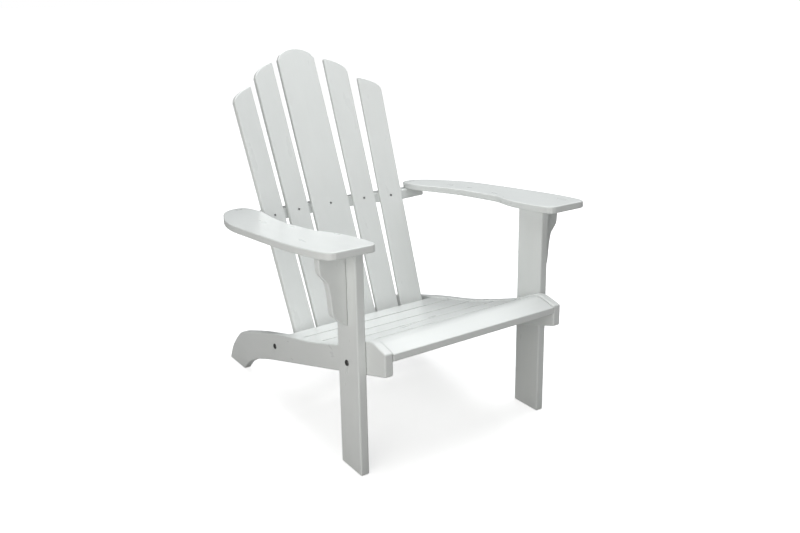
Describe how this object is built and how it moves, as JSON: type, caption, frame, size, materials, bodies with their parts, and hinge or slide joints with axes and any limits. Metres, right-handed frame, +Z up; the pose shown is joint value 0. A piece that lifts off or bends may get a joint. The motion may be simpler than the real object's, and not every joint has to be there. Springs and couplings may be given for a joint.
{
  "type": "adirondack chair",
  "caption": "Fixed garden armchair with a fanned, curved slat back, a sloping slatted seat with a rolled front edge, broad shaped arms and one-piece rear feet.",
  "frame": {"origin": "on the floor, under the middle of the chair's box, in its plane of symmetry", "axes": "+Z up, -Y the way the sitter faces, +X towards the sitter's left hand"},
  "size_m": [0.7756, 0.8896, 0.9105],
  "materials": {
    "white_paint": "smooth semi-gloss white outdoor paint on wood",
    "black_steel": "black-coated steel",
    "zinc_steel": "zinc-plated steel",
    "birch": "bare turned birch"
  },
  "bodies": {
    "root": {"back_slat_centre": "white_paint", "back_slat_centre_lower_screw": "zinc_steel", "back_slat_centre_upper_screw": "zinc_steel", "back_slat_inner_left": "white_paint", "back_slat_inner_left_lower_screw": "zinc_steel", "back_slat_inner_left_upper_screw": "zinc_steel", "back_slat_inner_right": "white_paint", "back_slat_inner_right_lower_screw": "zinc_steel", "back_slat_inner_right_upper_screw": "zinc_steel", "back_slat_outer_left": "white_paint", "back_slat_outer_left_lower_screw": "zinc_steel", "back_slat_outer_left_upper_screw": "zinc_steel", "back_slat_outer_right": "white_paint", "back_slat_outer_right_lower_screw": "zinc_steel", "back_slat_outer_right_upper_screw": "zinc_steel", "front_leg_bolt_left": "black_steel", "front_leg_bolt_right": "black_steel", "front_leg_insert_left": "zinc_steel", "front_leg_insert_right": "zinc_steel", "front_seat_slat": "white_paint", "front_seat_slat_screw_left": "zinc_steel", "front_seat_slat_screw_right": "zinc_steel", "left_arm_bracket": "white_paint", "left_arm_bracket_dowel": "birch", "left_armrest": "white_paint", "left_armrest_dowel": "birch", "left_armrest_inner_screw": "black_steel", "left_armrest_outer_screw": "black_steel", "left_front_leg": "white_paint", "left_seat_cleat": "white_paint", "left_side_rail": "white_paint", "lower_back_rail": "white_paint", "rear_rail_bolt_left": "black_steel", "rear_rail_bolt_right": "black_steel", "rear_rail_insert_left": "zinc_steel", "rear_rail_insert_right": "zinc_steel", "right_arm_bracket": "white_paint", "right_arm_bracket_dowel": "birch", "right_armrest": "white_paint", "right_armrest_dowel": "birch", "right_armrest_inner_screw": "black_steel", "right_armrest_outer_screw": "black_steel", "right_front_leg": "white_paint", "right_seat_cleat": "white_paint", "right_side_rail": "white_paint", "seat_slat_1": "white_paint", "seat_slat_1_screw_left": "zinc_steel", "seat_slat_1_screw_right": "zinc_steel", "seat_slat_2": "white_paint", "seat_slat_2_screw_left": "zinc_steel", "seat_slat_2_screw_right": "zinc_steel", "seat_slat_3": "white_paint", "seat_slat_3_screw_left": "zinc_steel", "seat_slat_3_screw_right": "zinc_steel", "seat_slat_4": "white_paint", "seat_slat_4_screw_left": "zinc_steel", "seat_slat_4_screw_right": "zinc_steel", "upper_back_rail": "white_paint"}
  },
  "joints": []
}
